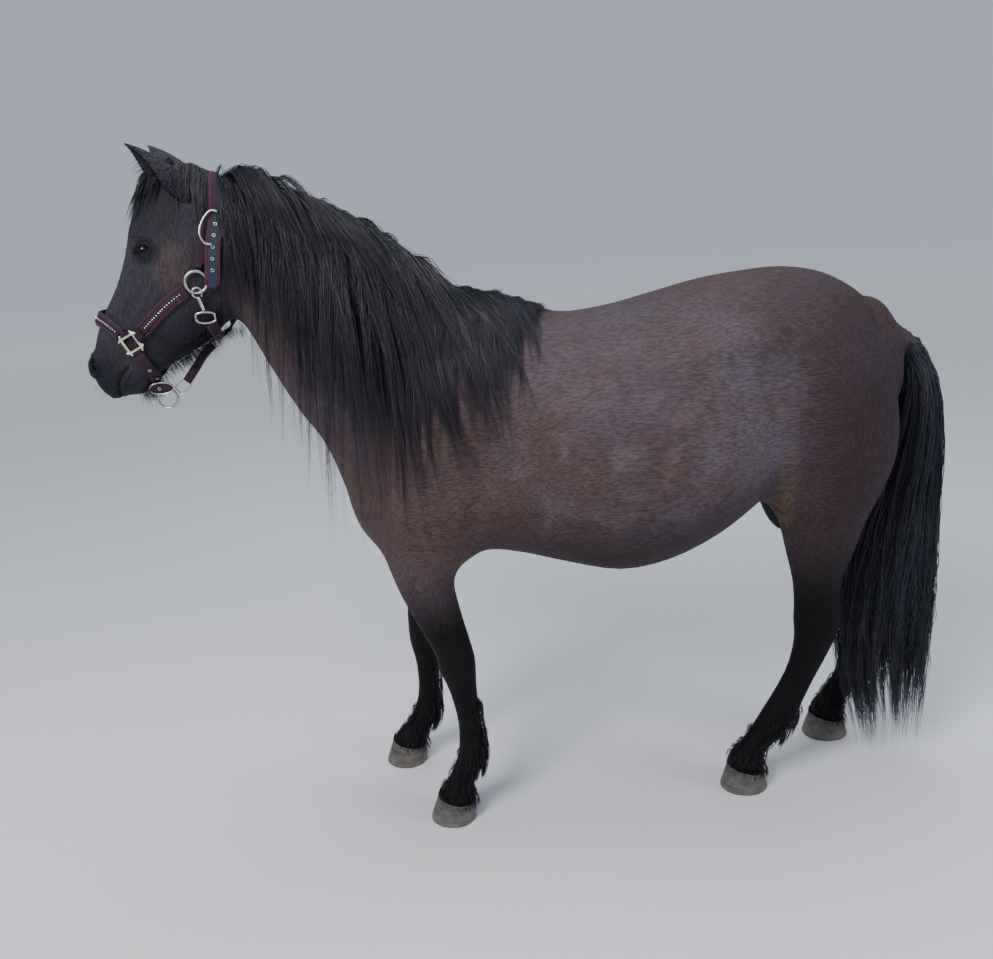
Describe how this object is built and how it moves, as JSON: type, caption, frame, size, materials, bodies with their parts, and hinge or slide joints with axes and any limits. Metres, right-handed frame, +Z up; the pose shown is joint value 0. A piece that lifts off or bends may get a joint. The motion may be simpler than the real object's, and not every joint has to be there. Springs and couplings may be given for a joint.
{
  "type": "shetland pony",
  "caption": "Life-size standing Shetland pony with long mane and tail, short dark coat, head held up and a webbing headcollar, as a still model.",
  "frame": {"origin": "middle of the bounding box on the floor under the hooves", "axes": "head to -X, left side to -Y, +Z up"},
  "size_m": [1.6024, 0.5107, 1.328],
  "materials": {
    "coat": "short summer coat, dark brown, bluish sheen",
    "dark_coat": "short black coat",
    "eye": "wet, dark brown",
    "hair": "long black hair",
    "hoof": "dusty horn",
    "metal": "polished nickel-plated",
    "webbing": "woven nylon, burgundy with grey-blue padding"
  },
  "bodies": {
    "root": {"ear_left": "coat", "ear_right": "coat", "eye_left": "eye", "eye_right": "eye", "fore_cannon_left": "dark_coat", "fore_cannon_right": "dark_coat", "fore_hoof_left": "hoof", "fore_hoof_right": "hoof", "fore_leg_left": "dark_coat", "fore_leg_right": "dark_coat", "halter_cheek_left": "webbing", "halter_cheek_right": "webbing", "halter_cheekpiece_left": "webbing", "halter_cheekpiece_right": "webbing", "halter_chin": "webbing", "halter_chin_plate": "metal", "halter_crown": "webbing", "halter_jaw": "webbing", "halter_lead_ring": "metal", "halter_noseband": "webbing", "halter_ring_left": "metal", "halter_ring_right": "metal", "halter_snap_left": "metal", "halter_snap_right": "metal", "halter_square_left": "metal", "halter_square_right": "metal", "halter_throat": "webbing", "head": "coat", "hind_cannon_left": "dark_coat", "hind_cannon_right": "dark_coat", "hind_hoof_left": "hoof", "hind_hoof_right": "hoof", "hind_leg_left": "dark_coat", "hind_leg_right": "dark_coat", "neck": "coat", "tail": "hair", "torso": "coat"}
  },
  "joints": []
}
